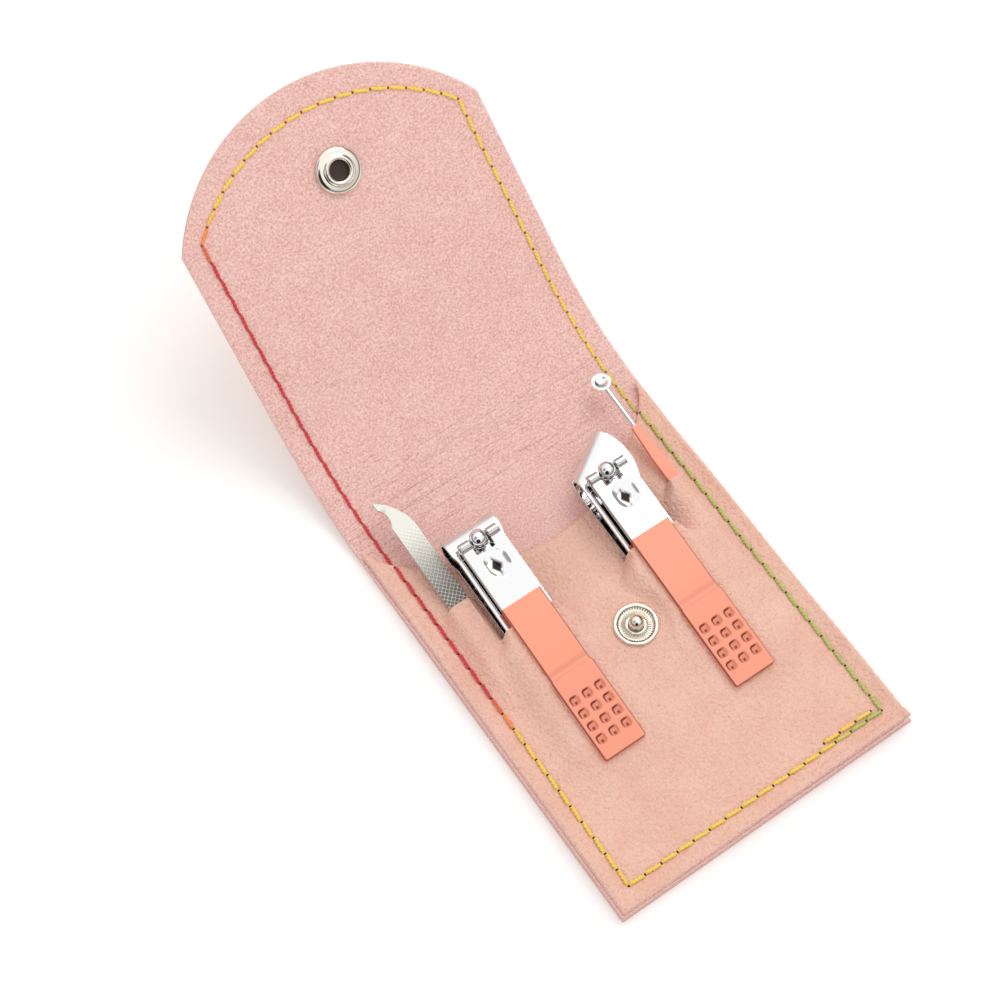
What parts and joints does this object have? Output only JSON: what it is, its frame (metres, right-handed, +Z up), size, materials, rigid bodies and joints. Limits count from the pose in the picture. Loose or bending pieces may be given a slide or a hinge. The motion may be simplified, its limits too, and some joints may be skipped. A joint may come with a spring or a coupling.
{
  "type": "manicure set case",
  "caption": "Folding snap-flap leather case, open, with a straight and a slant nail clipper, a nail file and an ear pick held in the slits of its pocket.",
  "frame": {"origin": "centre of the bounding box's base, on the surface that the case lies on", "axes": "+X to the right across the case, +Y from the pocket's bottom edge towards the flap, +Z up"},
  "size_m": [0.078, 0.1842, 0.0553],
  "materials": {
    "smooth_leather": "fine pebble grain, satin",
    "suede": "suede, matt",
    "thread": "waxed sewing thread in changing colours",
    "chrome": "bright plating",
    "steel": "plain steel",
    "file_steel": "satin steel",
    "coral_paint": "satin coral lacquer"
  },
  "bodies": {
    "pouch": {"back_panel": "smooth_leather", "front_panel": "smooth_leather", "pouch_stitching": "thread", "snap_stud": "chrome", "snap_post": "chrome"},
    "fold": {"fold": "suede", "fold_stitching": "thread"},
    "flap": {"flap": "suede", "flap_stitching": "thread", "snap_socket": "chrome", "snap_cap": "chrome"},
    "nail_file": {"nail_file": "file_steel"},
    "ear_pick": {"ear_pick_spoon": "file_steel", "ear_pick_grip": "coral_paint"},
    "straight_clipper": {"straight_lower_plate": "chrome", "straight_rivet": "steel"},
    "straight_upper_plate": {"straight_upper_plate": "chrome"},
    "straight_pin": {"straight_pin": "chrome"},
    "straight_lever": {"straight_lever": "coral_paint"},
    "slant_clipper": {"slant_lower_plate": "chrome", "slant_rivet": "steel"},
    "slant_upper_plate": {"slant_upper_plate": "chrome"},
    "slant_pin": {"slant_pin": "chrome"},
    "slant_lever": {"slant_lever": "coral_paint"}
  },
  "joints": [
    {"name": "fold_bend", "type": "hinge", "parent": "pouch", "child": "fold", "pos_m": [0, 0.01399, 0.00185], "axis": [-1, 0, 0], "range_deg": [-75.2, 17.5], "stiffness_Nm_per_rad": 0.02, "springref_deg": -15.76, "deforming": ["fold", "fold_stitching"]},
    {"name": "flap_bend", "type": "hinge", "parent": "fold", "child": "flap", "pos_m": [0, 0.03091, 0.00735], "axis": [-1, 0, 0], "range_deg": [-75.2, 17.5], "stiffness_Nm_per_rad": 0.02, "springref_deg": -15.76},
    {"name": "straight_clipper_slide", "type": "slide", "parent": "pouch", "child": "straight_clipper", "axis": [0, 0.9905, 0.1377], "range_m": [0, 0.0365]},
    {"name": "straight_squeeze", "type": "hinge", "parent": "straight_clipper", "child": "straight_upper_plate", "pos_m": [-0.0172, -0.05753, 0.00329], "axis": [-1, 0, 0], "range_deg": [0, 1.9], "stiffness_Nm_per_rad": 0.3},
    {"name": "straight_pin_turn", "type": "hinge", "parent": "straight_clipper", "child": "straight_pin", "pos_m": [-0.0172, -0.00741, 0.01361], "axis": [0, 0.1377, -0.9905], "range_deg": [0, 180]},
    {"name": "straight_lever_tilt", "type": "hinge", "parent": "straight_pin", "child": "straight_lever", "pos_m": [-0.0172, -0.00741, 0.01361], "axis": [-1, 0, 0], "range_deg": [0, 150]},
    {"name": "slant_clipper_slide", "type": "slide", "parent": "pouch", "child": "slant_clipper", "axis": [0, 0.9909, 0.1344], "range_m": [0, 0.039]},
    {"name": "slant_squeeze", "type": "hinge", "parent": "slant_clipper", "child": "slant_upper_plate", "pos_m": [0.0158, -0.06013, 0.00328], "axis": [-1, 0, 0], "range_deg": [0, 1.9], "stiffness_Nm_per_rad": 0.3},
    {"name": "slant_pin_turn", "type": "hinge", "parent": "slant_clipper", "child": "slant_pin", "pos_m": [0.0158, -0.00997, 0.01343], "axis": [0, -0.1344, 0.9909], "range_deg": [0, 180]},
    {"name": "slant_lever_tilt", "type": "hinge", "parent": "slant_pin", "child": "slant_lever", "pos_m": [0.0158, -0.00997, 0.01343], "axis": [-1, 0, 0], "range_deg": [0, 150]},
    {"name": "file_slide", "type": "slide", "parent": "pouch", "child": "nail_file", "axis": [0, 0.9936, 0.1132], "range_m": [-0.003, 0.0245]},
    {"name": "ear_pick_slide", "type": "slide", "parent": "pouch", "child": "ear_pick", "axis": [0, 0.9945, 0.1045], "range_m": [-0.003, 0.025]}
  ],
  "couplings": [
    {"joint": "flap_bend", "follows": "fold_bend", "ratio": 1}
  ]
}
